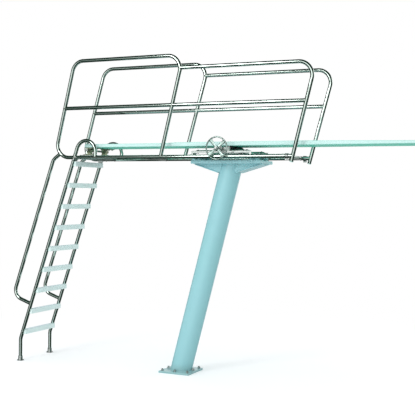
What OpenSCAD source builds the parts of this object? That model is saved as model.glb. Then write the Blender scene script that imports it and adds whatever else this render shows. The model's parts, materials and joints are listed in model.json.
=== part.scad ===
// Three metre diving stand: a leaning pipe pedestal, a tube frame with guard rails and a ladder,
// a hinged aluminium board and a fulcrum roller that a hand wheel moves along two track rails.
// Millimetres, +Z up, +X towards the tip of the board. The origin is the middle of the pedestal's
// base plate, on the deck. "Near" is the -Y side, "far" its mirror image on the +Y side.

/* [Tubes] */
// Outer diameter of the frame tubes
tube_od = 48.3; // [42:0.1:52]
// Wall thickness of the frame tubes
tube_wall = 3; // [2:0.5:5]
// Centreline radius of the large bends
bend_r = 165; // [150:5:180]

/* [Frame] */
// Height of the side stringers' centrelines
stringer_z = 2750; // [2740:1:2760]
// Distance between the two stringers' centrelines
frame_w = 690; // [680:1:700]
// Length of the stringers in front of the origin
front_post_x = 1596; // [1550:1:1620]
// Where the middle guard post meets the stringer
middle_post_x = -152; // [-200:1:-120]
// Where the rear guard post would meet the stringer without its bend
rear_post_x = -1733; // [-1760:1:-1710]

/* [Guard rails] */
// Outward lean of each guard from the vertical, in degrees
guard_splay = 1.87; // [0:0.01:2.5]
// Forward lean of the guard posts from the vertical, in degrees
post_rake = 14.4; // [12:0.1:16]
// Height of the middle rails
mid_rail_z = 3395; // [3350:5:3450]
// Height of the rear guard's top rail
rear_top_z = 4007; // [3980:1:4030]
// Height of the front guard's top rail
front_top_z = 3851; // [3820:1:3870]
// How far the front post runs on below the stringer
front_post_drop = 66; // [50:1:80]

/* [Pedestal] */
// Outer diameter of the pedestal pipe
pedestal_od = 273; // [260:1:280]
// Wall thickness of the pedestal pipe
pedestal_wall = 6.4; // [5:0.1:10]
// Forward lean of the pedestal from the vertical, in degrees
pedestal_rake = 14.35; // [13.5:0.05:15]
// Base plate length along X
base_x = 420; // [410:2:440]
// Base plate width along Y
base_y = 440; // [430:2:460]
// Base plate thickness
base_t = 25; // [20:1:32]
// Distance from the plate's middle to each line of anchor holes
anchor_reach = 176; // [174:1:180]
// Diameter of the anchor holes
anchor_hole_d = 22; // [20:0.5:24]

/* [Head] */
// Length of the head plate along X
head_len = 928; // [900:2:940]
// Width of the head plate along Y
head_w = 440; // [430:2:450]
// Height of the head plate's top face
head_top_z = 2708; // [2706:1:2710]
// Depth of the skirt below the head plate's top face
skirt_depth = 40; // [36:1:44]
// Depth of the gussets below the skirt, at the pipe
gusset_depth = 102; // [90:1:110]

/* [Ladder] */
// Lean of the ladder from the vertical, in degrees
ladder_rake = 18.7; // [18.5:0.05:19]
// Where the ladder rails meet the stringers
ladder_top_x = -1427; // [-1435:1:-1420]
// Where the ladder rails stand on the deck
ladder_foot_x = -2258; // [-2265:1:-2250]
// Number of treads
tread_count = 9; // [9:1:9]
// Rise from one tread to the next
tread_pitch = 284.7; // [280:0.1:285]
// Height of the top tread's underside
top_tread_z = 2637.5; // [2630:0.5:2640]
// Thickness of a tread
tread_t = 60; // [50:1:64]
// Distance from the ladder rails to the handrails behind them
handrail_offset = 303; // [290:1:310]
// Front leg of the hoops, where it meets the stringers
hoop_front_x = -1109; // [-1120:1:-1100]
// Centreline radius of the hoops
hoop_r = 142; // [136:1:146]

/* [Board] */
// Length of the board with its tip cap
board_len = 4877; // [4800:1:4900]
// Width of the board
board_w = 508; // [500:1:510]
// Greatest thickness of the board, with its tread surface
board_t = 47; // [44:0.5:50]
// Thickness of the board behind the fulcrum
board_tail_t = 40; // [38:0.5:42]
// Thickness of the board at its tip
board_tip_t = 24; // [22:0.5:30]
// Rear end of the board
board_rear_x = -1330; // [-1335:1:-1325]
// Height of the board's flat underside
board_z = 2885; // [2885:0.5:2886]

/* [Fulcrum] */
// Where the roller's axle stands at rest
roller_x = 720; // [715:1:725]
// Where the drive shaft stands at rest
shaft_x = 642; // [640:1:646]
// Diameter of the roller
roller_d = 76; // [74:0.5:76]
// Length of the roller
roller_len = 420; // [400:2:424]
// Outer diameter of the track rails
track_od = 38.1; // [38:0.1:38.2]
// Height of the track rails' centrelines
track_z = 2815; // [2814:0.5:2816]
// Distance between the two track rails' centrelines
track_w = 500; // [498:1:502]
// Height of the drive shaft
shaft_z = 2849; // [2848.5:0.5:2849.5]
// Diameter of the drive shaft
shaft_d = 19; // [18:0.5:19]
// Outer diameter of the hand wheel
wheel_d = 290; // [270:1:296]
// Middle plane of the hand wheel
wheel_y = -405; // [-410:1:-402]
// Module of the rack and pinion teeth
gear_module = 3; // [3:1:3]
// Number of teeth on each pinion
pinion_teeth = 20; // [20:1:20]

/* [Hinge] */
// Where the hinge pin stands
hinge_x = -1290; // [-1292:1:-1288]
// Height of the hinge pin
hinge_z = 2848; // [2847:0.5:2849]
// Diameter of the hinge pin
pin_d = 25.4; // [24:0.1:26]

/* [Hidden] */
$fn = 72;

steel = "lightgray";
aqua = "mediumaquamarine";
cast = "darkkhaki";
big = 6000;

tube_r = tube_od / 2;
half_w = frame_w / 2;
// Root gap left where one tube is welded on the side of another, and between a bend and a run
weld_gap = 0.1;
butt_gap = 0.02;
cope_r = tube_r + weld_gap;

// Leaning lines as X per unit of height
post_slope = tan(post_rake);
ladder_slope = tan(ladder_rake);
pedestal_slope = tan(pedestal_rake);
function post_x(foot_x, z) = foot_x + post_slope * (z - stringer_z);
function ladder_x(z) = ladder_top_x + ladder_slope * (z - stringer_z);
function pedestal_x(z) = pedestal_slope * z;
function tread_z(i) = top_tread_z - i * tread_pitch;

// The stringer starts where the rear guard's lower bend ends
stringer_rear_x = rear_post_x + bend_r * tan((90 + post_rake) / 2);
board_tip_x = board_rear_x + board_len;
surface_t = 1.5;
tip_cap_t = 25;

// ---------------------------------------------------------------- tubes along a bent line

function heading(a, b) = (b - a) / norm(b - a);
function turn(pts, i) =
    let (d0 = heading(pts[i - 1], pts[i]), d1 = heading(pts[i], pts[i + 1]))
    atan2(cross(d0, d1), d0 * d1);
function is_bend(pts, i) = i > 0 && i < len(pts) - 1;
function tangent_len(pts, i, bends) = is_bend(pts, i) ? bends[i] * tan(abs(turn(pts, i)) / 2) : 0;

module ring(r_out, r_in) {
    difference() {
        circle(r_out);
        if (r_in > 0) circle(r_in);
    }
}

// One straight run of a tube between two points of the XY plane
module straight(a, b, r_out, r_in) {
    d = heading(a, b);
    translate([a[0], a[1], 0])
        rotate([0, 0, atan2(d[1], d[0])])
            rotate([0, 90, 0])
                linear_extrude(norm(b - a)) ring(r_out, r_in);
}

// Carries what follows round the end of a left-hand bend that starts at the origin along +X
module after_bend(bend, angle) {
    translate([0, bend, 0]) rotate([0, 0, angle]) translate([0, -bend, 0]) children();
}

// The bend itself: half a ring, cut at the bend's last plane
module elbow(bend, angle, r_out, r_in) {
    half = bend + 2 * r_out;
    difference() {
        translate([0, bend, 0]) rotate([0, 0, -90])
            rotate_extrude(angle = 180) translate([bend, 0]) ring(r_out, r_in);
        after_bend(bend, angle) translate([0, -half, -half]) cube([2 * half, 4 * half, 2 * half]);
    }
}

// The run that starts at the origin along +X, then everything after it. Each piece is placed from
// the one before, with a butt gap between every run and the bends at its ends
module tube_run(pts, bends, i, r_out, r_in) {
    run = norm(pts[i + 1] - pts[i]) - tangent_len(pts, i, bends) - tangent_len(pts, i + 1, bends);
    long = run > 0.01;
    first = i > 0 ? butt_gap : 0;
    last = i + 2 < len(pts) ? butt_gap : 0;
    if (long) translate([first, 0, 0]) rotate([0, 90, 0])
        linear_extrude(run - first - last) ring(r_out, r_in);
    if (i + 2 < len(pts)) {
        side = turn(pts, i + 1) > 0 ? 0 : 1;
        angle = abs(turn(pts, i + 1));
        translate([long ? run : 0, 0, 0]) mirror([0, side, 0]) {
            elbow(bends[i + 1], angle, r_out, r_in);
            after_bend(bends[i + 1], angle) mirror([0, side, 0])
                tube_run(pts, bends, i + 1, r_out, r_in);
        }
    }
}

// The whole ring that one bend of an outline is part of
module bend_ring(pts, bends, i, r_out) {
    d = heading(pts[i - 1], pts[i]);
    inward = [-d[1], d[0]] * sign(turn(pts, i));
    centre = pts[i] - d * tangent_len(pts, i, bends) + inward * bends[i];
    translate([centre[0], centre[1], 0]) rotate_extrude() translate([bends[i], 0]) circle(r_out);
}

// A tube through the points of an outline in the XY plane, with a bend radius at each corner
module bent_tube(pts, bends, r_out, r_in) {
    d = heading(pts[0], pts[1]);
    translate([pts[0][0], pts[0][1], 0]) rotate([0, 0, atan2(d[1], d[0])])
        tube_run(pts, bends, 0, r_out, r_in);
}

// ---------------------------------------------------------------- sides and planes

// Everything is drawn on the near side, and mirrored for the far side
module on_side(side) {
    if (side < 0) children();
    else mirror([0, 1, 0]) children();
}

module both_sides() {
    for (side = [-1, 1]) on_side(side) children();
}

// The vertical plane through the near stringer: X stays X, and the outline's Y becomes height
module in_frame_plane() {
    translate([0, -half_w, 0]) rotate([90, 0, 0]) children();
}

// The same plane leaned outwards about the stringer
module in_guard_plane() {
    translate([0, -half_w, stringer_z])
        rotate([guard_splay, 0, 0])
            translate([0, 0, -stringer_z]) rotate([90, 0, 0]) children();
}

module along_x(x, y, z, length, r) {
    translate([x, y, z]) rotate([0, 90, 0]) cylinder(r = r, h = length);
}

module along_y(x, y, z, length, r) {
    translate([x, y, z]) rotate([-90, 0, 0]) cylinder(r = r, h = length);
}

module stringer_rod() {
    along_x(-big / 2, -half_w, stringer_z, big, cope_r);
}

// A bolt that points along +Y from its head's outer face: head, washer and shank
module bolt_y(x, y, z, shank_r, length) {
    head_t = 1.3 * shank_r;
    washer_t = 2;
    translate([x, y, z]) rotate([-90, 0, 0]) {
        cylinder(r = 1.9 * shank_r, h = head_t, $fn = 6);
        translate([0, 0, head_t]) cylinder(r = 2.2 * shank_r, h = washer_t);
        translate([0, 0, head_t + washer_t]) cylinder(r = shank_r, h = length);
    }
}

// A bolt that points down from its head's top face
module bolt_down(x, y, z, shank_r, length) {
    translate([x, y, z]) rotate([-90, 0, 0]) bolt_y(0, 0, 0, shank_r, length);
}

// ---------------------------------------------------------------- pedestal and head

base_corners = [for (sx = [-1, 1], sy = [-1, 1]) [sx * anchor_reach, sy * anchor_reach]];
base_middles = [[anchor_reach, 0], [-anchor_reach, 0], [0, anchor_reach], [0, -anchor_reach]];
head_x = 674;
head_plate_t = 12;
skirt_t = 10;
skirt_z = head_top_z - skirt_depth;
plate_under_z = head_top_z - head_plate_t;
gusset_z = skirt_z - gusset_depth;
web_y = 100;
web_t = 12;
flange_t = 10;
flange_lip = 20;

module base_plate() {
    color(aqua) difference() {
        translate([-base_x / 2, -base_y / 2, 0]) cube([base_x, base_y, base_t]);
        for (p = concat(base_corners, base_middles))
            translate([p[0], p[1], -1]) cylinder(d = anchor_hole_d, h = base_t + 2);
    }
}

// Hex nuts on plain washers, one over each anchor hole
module anchor_nuts() {
    washer_t = 3;
    nut_t = 16;
    color(steel) for (p = concat(base_corners, base_middles))
        translate([p[0], p[1], base_t]) difference() {
            union() {
                cylinder(d = 1.72 * anchor_hole_d, h = washer_t);
                translate([0, 0, washer_t]) cylinder(d = 1.5 * anchor_hole_d, h = nut_t, $fn = 6);
            }
            translate([0, 0, -1]) cylinder(d = anchor_hole_d, h = washer_t + nut_t + 2);
        }
}

module pedestal_rod(r) {
    rotate([0, pedestal_rake, 0]) translate([0, 0, -400]) cylinder(r = r, h = 3600);
}

module pedestal_tube() {
    color(aqua) intersection() {
        difference() {
            pedestal_rod(pedestal_od / 2);
            pedestal_rod(pedestal_od / 2 - pedestal_wall);
        }
        translate([-1000, -1000, base_t]) cube([3000, 2000, plate_under_z - base_t]);
    }
}

module head_plate() {
    color(aqua) translate([head_x - head_len / 2, -head_w / 2, plate_under_z])
        cube([head_len, head_w, head_plate_t]);
}

// Four flat bars on edge under the plate's edges, the end bars between the long ones
module head_skirts() {
    bar_h = skirt_depth - head_plate_t;
    end_w = head_w - 2 * skirt_t - 2 * butt_gap;
    color(aqua) {
        for (y = [-head_w / 2, head_w / 2 - skirt_t])
            translate([head_x - head_len / 2, y, skirt_z]) cube([head_len, skirt_t, bar_h]);
        for (x = [head_x - head_len / 2, head_x + head_len / 2 - skirt_t])
            translate([x, -end_w / 2, skirt_z]) cube([skirt_t, end_w, bar_h]);
    }
}

rear_web = [
    [head_x - head_len / 2 + skirt_t, plate_under_z], [head_x - head_len / 2 + skirt_t, skirt_z],
    [pedestal_x(gusset_z) - 120, gusset_z], [pedestal_x(gusset_z), gusset_z],
    [pedestal_x(plate_under_z), plate_under_z]
];
front_web = [
    [head_x + head_len / 2 - skirt_t, plate_under_z], [head_x + head_len / 2 - skirt_t, skirt_z],
    [pedestal_x(gusset_z) + 120, gusset_z], [pedestal_x(gusset_z), gusset_z],
    [pedestal_x(plate_under_z), plate_under_z]
];

module gusset_webs() {
    color(aqua) for (web = [rear_web, front_web], side = [-1, 1])
        difference() {
            translate([0, side * web_y + web_t / 2, 0]) rotate([90, 0, 0])
                linear_extrude(web_t) polygon(web);
            pedestal_rod(pedestal_od / 2 + weld_gap);
        }
}

// Sloping plates welded along the lower edges of the webs, from a point at the skirt to one at the pipe
module gusset_flange(a, b) {
    towards = b[0] > a[0] ? 0 : 1;
    drop = atan2(a[1] - b[1], abs(b[0] - a[0]));
    difference() {
        translate([a[0], 0, a[1]]) mirror([towards, 0, 0]) rotate([0, drop, 0])
            translate([0, -web_y - flange_lip, -flange_t - butt_gap])
                cube([norm(b - a), 2 * (web_y + flange_lip), flange_t]);
        pedestal_rod(pedestal_od / 2 + weld_gap);
    }
}

module gusset_flanges() {
    color(aqua) {
        gusset_flange(rear_web[1], rear_web[2]);
        gusset_flange(front_web[1], front_web[2]);
    }
}

// ---------------------------------------------------------------- frame

track_leg_x = [266, 1039];
saddle_y = 150;
tie_x = concat([-1345, -1215, -420], track_leg_x, [1470]);

module stringer_near() {
    color(steel) difference() {
        translate([stringer_rear_x + butt_gap, -half_w, stringer_z]) rotate([0, 90, 0])
            linear_extrude(front_post_x - stringer_rear_x - butt_gap) ring(tube_r, tube_r - tube_wall);
        in_guard_plane() straight(front_post_line[0], front_post_line[1], cope_r, 0);
        in_frame_plane() splice_holes();
    }
}

module cross_tie_tube(x) {
    difference() {
        along_y(x, -half_w, stringer_z, frame_w, tube_r);
        along_y(x, -half_w - 1, stringer_z, frame_w + 2, tube_r - tube_wall);
        both_sides() stringer_rod();
    }
}

module cross_ties() {
    color(steel) for (x = tie_x) cross_tie_tube(x);
}

module tie_rod(x) {
    along_y(x, -half_w, stringer_z, frame_w, cope_r);
}

// Blocks under the two cross ties that stand on the head plate
saddle_len = 110;
saddle_w = 70;
strap_w = 50;
strap_t = 6;
strap_reach = 42;

module head_saddles() {
    color(aqua) for (x = track_leg_x, side = [-1, 1])
        difference() {
            translate([x - saddle_len / 2, side * saddle_y - saddle_w / 2, head_top_z])
                cube([saddle_len, saddle_w, stringer_z - head_top_z - strap_t / 2]);
            tie_rod(x);
            for (dx = [-strap_reach, strap_reach])
                translate([x + dx, side * saddle_y, head_top_z - 1]) cylinder(r = 5, h = 60);
        }
}

module saddle_straps() {
    color(steel) for (x = track_leg_x, side = [-1, 1])
        difference() {
            union() {
                along_y(x, side * saddle_y - strap_w / 2, stringer_z, strap_w, cope_r + strap_t);
                translate([x - saddle_len / 2, side * saddle_y - strap_w / 2, stringer_z - strap_t / 2])
                    cube([saddle_len, strap_w, strap_t]);
            }
            tie_rod(x);
            translate([x - saddle_len, side * saddle_y - strap_w, stringer_z - 60 - strap_t / 2])
                cube([2 * saddle_len, 2 * strap_w, 60]);
            for (dx = [-strap_reach, strap_reach])
                translate([x + dx, side * saddle_y, stringer_z - 30]) cylinder(r = 5, h = 60);
        }
}

module saddle_bolts() {
    bolt_r = 5;
    strap_top_z = stringer_z + strap_t / 2;
    head_z = strap_top_z + 1.3 * bolt_r + 2;
    color(steel) for (x = track_leg_x, side = [-1, 1], dx = [-strap_reach, strap_reach])
        bolt_down(x + dx, side * saddle_y, head_z, bolt_r, strap_top_z - head_top_z);
}

// ---------------------------------------------------------------- guard rails

rear_guard_line = [
    [stringer_rear_x, stringer_z], [rear_post_x, stringer_z],
    [post_x(rear_post_x, rear_top_z), rear_top_z],
    [post_x(middle_post_x, rear_top_z), rear_top_z], [middle_post_x, stringer_z]
];
middle_post_line = [rear_guard_line[3], rear_guard_line[4]];
front_guard_line = [
    [post_x(middle_post_x, front_top_z), front_top_z],
    [post_x(front_post_x, front_top_z), front_top_z],
    [post_x(front_post_x, stringer_z - front_post_drop), stringer_z - front_post_drop]
];
front_post_line = [front_guard_line[1], front_guard_line[2]];
rear_post_line = [[rear_post_x, stringer_z], rear_guard_line[2]];
guard_bends = [0, bend_r, bend_r, bend_r, 0];

module guard_rear() {
    color(steel) difference() {
        in_guard_plane() bent_tube(rear_guard_line, guard_bends, tube_r, tube_r - tube_wall);
        translate([-500, 0, 0]) along_x(0, -half_w, stringer_z, 1000, cope_r);
    }
}

module guard_front() {
    color(steel) difference() {
        in_guard_plane() bent_tube(front_guard_line, guard_bends, tube_r, tube_r - tube_wall);
        in_guard_plane() bend_ring(rear_guard_line, guard_bends, 3, cope_r);
    }
}

// A middle rail between two posts of the leaned plane, coped to both
module mid_rail(line_a, line_b, foot_a, foot_b) {
    difference() {
        in_guard_plane()
            straight([post_x(foot_a, mid_rail_z), mid_rail_z], [post_x(foot_b, mid_rail_z), mid_rail_z],
                tube_r, tube_r - tube_wall);
        in_guard_plane() straight(line_a[0], line_a[1], cope_r, 0);
        in_guard_plane() straight(line_b[0], line_b[1], cope_r, 0);
    }
}

module mid_rails() {
    color(steel) {
        mid_rail(rear_post_line, middle_post_line, rear_post_x, middle_post_x);
        mid_rail(middle_post_line, front_post_line, middle_post_x, front_post_x);
    }
}

// Split collars round the stringers just behind the front posts
collar_x = 1524;
collar_len = 44;
collar_r = 31;
collar_lug = 16;
collar_bolt_r = 4;
collar_bolt_z = stringer_z - 40;

module front_collar() {
    difference() {
        union() {
            along_x(collar_x - collar_len / 2, -half_w, stringer_z, collar_len, collar_r);
            translate([collar_x - collar_len / 2, -half_w - collar_lug / 2, stringer_z - 50])
                cube([collar_len, collar_lug, 30]);
        }
        along_x(collar_x - collar_len, -half_w, stringer_z, 2 * collar_len, tube_r);
        translate([collar_x - collar_len, -half_w - 1, stringer_z - 60]) cube([2 * collar_len, 2, 40]);
        along_y(collar_x, -half_w - 50, collar_bolt_z, 100, collar_bolt_r);
    }
}

module front_collars() {
    color(steel) both_sides() front_collar();
}

module collar_bolt() {
    head = 1.3 * collar_bolt_r + 2;
    bolt_y(collar_x, -half_w - collar_lug / 2 - head, collar_bolt_z, collar_bolt_r, collar_lug + 6);
}

// ---------------------------------------------------------------- ladder

handrail_dx = handrail_offset / cos(ladder_rake);
stub_z = 779;
ladder_out = [-cos(ladder_rake), sin(ladder_rake)];
foot_bend_z = stringer_z - (ladder_top_x - ladder_foot_x) / ladder_slope;
foot_plate_t = 10;
// Radial clearance of the ladder rails in their foot sockets
slip_fit = 0.05;
ladder_line = [
    [ladder_top_x, stringer_z], [ladder_foot_x, foot_bend_z],
    [ladder_foot_x, foot_plate_t + butt_gap]
];
hoop_top_z = stringer_z + (hoop_front_x - ladder_top_x) / ladder_slope;
hoop_line = [[ladder_top_x, stringer_z], [hoop_front_x, hoop_top_z], [hoop_front_x, stringer_z]];
handrail_low = [ladder_x(stub_z), stub_z] + handrail_offset * ladder_out;
handrail_top_z = 2722;
handrail_line = [
    [ladder_x(stub_z), stub_z], handrail_low,
    [ladder_x(handrail_top_z) - handrail_dx, handrail_top_z],
    [-1640, 2806]
];
handrail_bends = [0, 130, 120, 0];
tread_bolt_r = 5;
tread_bolt_z = [for (i = [0 : tread_count - 1]) tread_z(i) + tread_t / 2];
splice_tube_hole = [ladder_x(2716), 2716];
splice_frame_hole = [-1396, stringer_z];

// Holes through a tube across the frame plane
module splice_holes() {
    for (p = [splice_tube_hole, splice_frame_hole])
        translate([p[0], p[1], -tube_od]) cylinder(r = 6, h = 2 * tube_od);
}

module ladder_rail() {
    color(steel) difference() {
        in_frame_plane() bent_tube(ladder_line, [0, bend_r, 0], tube_r, tube_r - tube_wall);
        stringer_rod();
        in_frame_plane() splice_holes();
        in_frame_plane() for (z = tread_bolt_z)
            translate([ladder_x(z), z, -tube_od]) cylinder(r = tread_bolt_r, h = 2 * tube_od);
    }
}

module ladder_rods() {
    both_sides() in_frame_plane() straight(ladder_line[0], ladder_line[1], cope_r, 0);
    both_sides() in_frame_plane() straight(ladder_line[1], ladder_line[2], cope_r, 0);
}

module ladder_hoops() {
    color(steel) both_sides() difference() {
        in_frame_plane() bent_tube(hoop_line, [0, hoop_r, 0], tube_r, tube_r - tube_wall);
        stringer_rod();
    }
}

module ladder_handrails() {
    color(steel) both_sides() difference() {
        in_frame_plane() bent_tube(handrail_line, handrail_bends, tube_r, tube_r - tube_wall);
        in_frame_plane() straight(ladder_line[0], ladder_line[1], cope_r, 0);
        in_guard_plane() bend_ring(rear_guard_line, guard_bends, 1, cope_r);
    }
}

// Plates that bolt the ladder rails to the inner sides of the stringers
splice_t = 8;
splice_outline = [[-1466, 2702], [-1412, 2702], [-1374, 2732], [-1374, 2768], [-1410, 2768], [-1466, 2734]];

module ladder_splices() {
    color(steel) both_sides() difference() {
        in_frame_plane() translate([0, 0, -tube_r - splice_t]) linear_extrude(splice_t)
            polygon(splice_outline);
        in_frame_plane() splice_holes();
    }
}

module frame_bolts() {
    splice_bolt_r = 6;
    reach = tube_od + splice_t + 4;
    head = 1.3 * splice_bolt_r + 2;
    color(steel) {
        both_sides() for (p = [splice_tube_hole, splice_frame_hole])
            bolt_y(p[0], -half_w - tube_r - head, p[1], splice_bolt_r, reach);
        both_sides() collar_bolt();
    }
}

module ladder_foot() {
    socket_r = 30;
    socket_h = 62;
    flange_r = 45;
    translate([ladder_foot_x, -half_w, 0]) difference() {
        union() {
            cylinder(r = flange_r, h = foot_plate_t);
            cylinder(r = socket_r, h = socket_h);
        }
        translate([0, 0, foot_plate_t]) cylinder(r = tube_r + slip_fit, h = socket_h);
        for (a = [60, 180, 300]) rotate([0, 0, a]) translate([37.5, 0, -1]) cylinder(r = 4.5, h = 20);
    }
}

module ladder_feet() {
    color(steel) both_sides() ladder_foot();
}

// One moulded tread: a shell open below, with cross ribs, and lugs in front of the ladder rails
tread_back = 24;
tread_front = 50;
tread_skin = 6;

module tread(i) {
    x = ladder_x(tread_z(i) + tread_t / 2);
    inner_y = half_w - tube_r - 2;
    rib_pitch = inner_y / 4;
    color("whitesmoke") difference() {
        union() {
            translate([x - tread_back, -inner_y, tread_z(i)])
                cube([tread_back + tread_front, 2 * inner_y, tread_t]);
            translate([x, -half_w, tread_z(i)]) cube([tread_front, 2 * half_w, tread_t]);
        }
        for (k = [-4 : 3])
            translate([x - tread_back + tread_skin, k * rib_pitch + tread_skin / 2, tread_z(i) - 1])
                cube([tread_back + tread_front - 2 * tread_skin, rib_pitch - tread_skin,
                    tread_t - tread_skin + 1]);
        ladder_rods();
        both_sides() in_frame_plane()
            translate([x, tread_z(i) + tread_t / 2, -tube_r - 60]) cylinder(r = tread_bolt_r, h = 100);
    }
}

module tread_bolts() {
    head = 1.3 * tread_bolt_r + 2;
    color(steel) both_sides() for (z = tread_bolt_z)
        bolt_y(ladder_x(z), -half_w - tube_r - head, z, tread_bolt_r, tube_od + 30);
}

// ---------------------------------------------------------------- fulcrum track

track_r = track_od / 2;
track_half = track_w / 2;
track_bend = 57;
track_wall = 3;
track_line = [
    [track_leg_x[0], stringer_z], [track_leg_x[0], track_z], [track_leg_x[1], track_z],
    [track_leg_x[1], stringer_z]
];
rack_w = 14;
rack_y = -295;
tooth_pitch = PI * gear_module;
pinion_r = gear_module * pinion_teeth / 2;
rack_pitch_z = shaft_z - pinion_r;
tooth_tip = gear_module;
tooth_root = 1.25 * gear_module;
pressure = 20;
backlash = 0.3;
rack_first = -41;
rack_last = 43;
rack_bottom_z = 2796;

module track_rails() {
    color(steel) both_sides() difference() {
        translate([0, -track_half, 0]) rotate([90, 0, 0])
            bent_tube(track_line, [0, track_bend, track_bend, 0], track_r, track_r - track_wall);
        for (x = track_leg_x) tie_rod(x);
    }
}

// Half widths of a rack tooth at its root and at its tip
rack_half_pitch = tooth_pitch / 4 - backlash / 4;
rack_half_root = rack_half_pitch + tooth_root * tan(pressure);
rack_half_tip = rack_half_pitch - tooth_tip * tan(pressure);

function rack_tooth(k) =
    let (x = shaft_x + k * tooth_pitch)
    [
        [x - rack_half_root, rack_pitch_z - tooth_root], [x - rack_half_tip, rack_pitch_z + tooth_tip],
        [x + rack_half_tip, rack_pitch_z + tooth_tip], [x + rack_half_root, rack_pitch_z - tooth_root]
    ];

rack_outline = concat(
    [[shaft_x + (rack_last + 0.5) * tooth_pitch, rack_bottom_z]],
    [[shaft_x + (rack_first - 0.5) * tooth_pitch, rack_bottom_z]],
    [for (k = [rack_first : rack_last]) each rack_tooth(k)]
);

module racks() {
    foot_w = 26;
    color(steel) both_sides() difference() {
        translate([0, rack_y + rack_w / 2, 0]) rotate([90, 0, 0]) linear_extrude(rack_w) {
            polygon(rack_outline);
            for (x = track_leg_x)
                translate([x - foot_w / 2, stringer_z]) square([foot_w, rack_bottom_z - stringer_z + 1]);
        }
        for (x = track_leg_x) tie_rod(x);
    }
}

bumper_t = 8;
track_start_x = track_leg_x[0] + track_bend;
track_end_x = track_leg_x[1] - track_bend;

module rail_bumpers() {
    color("dimgray") both_sides() for (x = [track_start_x, track_end_x - bumper_t])
        difference() {
            along_x(x, -track_half, track_z, bumper_t, track_r + 6);
            along_x(x - 1, -track_half, track_z, bumper_t + 2, track_r);
        }
}

// ---------------------------------------------------------------- fulcrum carriage

block_x0 = shaft_x - 24;
block_x1 = roller_x + 26;
block_half_y = 26;
block_low_z = track_z - 26;
block_top_z = shaft_z + 18;
liner_r = 23;
running = 0.05;
axle_r = 10;
axle_z = board_z - roller_d / 2 - 0.2;

module slide_block() {
    length = block_x1 - block_x0;
    difference() {
        translate([block_x0, -track_half - block_half_y, block_low_z])
            cube([length, 2 * block_half_y, block_top_z - block_low_z]);
        along_x(block_x0 - 1, -track_half, track_z, length + 2, liner_r);
        along_y(shaft_x, -track_half - 50, shaft_z, 100, shaft_d / 2 + running);
        along_y(roller_x, -track_half - 50, axle_z, 100, axle_r);
    }
}

module slide_blocks() {
    color(steel) both_sides() slide_block();
}

module block_liner() {
    length = block_x1 - block_x0;
    difference() {
        along_x(block_x0, -track_half, track_z, length, liner_r);
        along_x(block_x0 - 1, -track_half, track_z, length + 2, track_r + running);
    }
}

module block_liners() {
    color("ivory") difference() {
        both_sides() block_liner();
        along_y(roller_x, -track_half - 50, axle_z, track_w + 100, axle_r + 0.5);
    }
}

module carriage_tie() {
    inner_y = track_half - block_half_y;
    color(steel) translate([block_x0 + 40, -inner_y, block_low_z])
        cube([block_x1 - block_x0 - 40, 2 * inner_y, 10]);
}

module roller_axle() {
    reach = track_half + block_half_y;
    color(steel) along_y(roller_x, -reach, axle_z, 2 * reach, axle_r);
}

core_r = 30;

module roller_core() {
    hub_gap = track_half - block_half_y - roller_len / 2 - 1;
    reach = roller_len / 2 + hub_gap;
    color(steel) difference() {
        union() {
            along_y(roller_x, -roller_len / 2, axle_z, roller_len, core_r);
            along_y(roller_x, -reach, axle_z, 2 * reach, axle_r + 5);
        }
        along_y(roller_x, -reach - 1, axle_z, 2 * reach + 2, axle_r + running);
        along_y(roller_x, -roller_len / 2 + 20, axle_z, roller_len - 40, core_r - 5);
    }
}

module roller_cover() {
    color("dimgray") difference() {
        along_y(roller_x, -roller_len / 2, axle_z, roller_len, roller_d / 2);
        along_y(roller_x, -roller_len / 2 - 1, axle_z, roller_len + 2, core_r);
    }
}

// ---------------------------------------------------------------- drive shaft, pinions and wheel

shaft_near_y = wheel_y - 42;
shaft_far_y = 312;

module drive_shaft() {
    color(steel) along_y(shaft_x, shaft_near_y, shaft_z, shaft_far_y - shaft_near_y, shaft_d / 2);
}

base_circle_r = pinion_r * cos(pressure);
function involute(angle) = tan(angle) * 180 / PI - angle;
tooth_half_angle = 90 / pinion_teeth - backlash / 4 / pinion_r * 180 / PI;
// Half the angle that a tooth covers at radius r
function half_angle(r) =
    tooth_half_angle + involute(pressure) - involute(acos(min(1, base_circle_r / max(r, base_circle_r))));
flank_steps = 6;
flank_radii = concat(
    [pinion_r - tooth_root],
    [for (s = [0 : flank_steps])
        base_circle_r + (pinion_r + tooth_tip - base_circle_r) * s / flank_steps]
);
function flank_point(r, angle) = r * [cos(angle), sin(angle)];
// A gap between two teeth points straight down at the rack
pinion_outline = [
    for (k = [0 : pinion_teeth - 1])
        let (middle = -90 + (k + 0.5) * 360 / pinion_teeth)
        for (s = [0 : 2 * len(flank_radii) - 1])
            let (rising = s < len(flank_radii), n = rising ? s : 2 * len(flank_radii) - 1 - s)
            flank_point(flank_radii[n], middle + (rising ? -1 : 1) * half_angle(flank_radii[n]))
];

module pinions() {
    color(steel) both_sides() translate([shaft_x, rack_y + rack_w / 2, shaft_z]) rotate([90, 0, 0])
        linear_extrude(rack_w) difference() {
            polygon(pinion_outline);
            circle(shaft_d / 2);
        }
}

rim_r = 9;
spoke_t = 9;
spoke_count = 4;
spoke_start = 39;

module hand_wheel() {
    hub_r = 27;
    hub_len = 36;
    rim_centre = wheel_d / 2 - rim_r;
    color("powderblue") translate([shaft_x, wheel_y, shaft_z]) rotate([90, 0, 0]) difference() {
        union() {
            rotate_extrude() translate([rim_centre, 0]) circle(rim_r);
            translate([0, 0, -hub_len / 2]) cylinder(r = hub_r, h = hub_len);
            for (k = [0 : spoke_count - 1])
                rotate([0, 0, spoke_start + k * 360 / spoke_count])
                    translate([0, 0, -spoke_t / 2]) linear_extrude(spoke_t)
                        polygon([[15, -14], [rim_centre - 3, -26], [rim_centre - 3, 26], [15, 14]]);
        }
        translate([0, 0, -hub_len]) cylinder(d = shaft_d, h = 2 * hub_len);
    }
}

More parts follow.
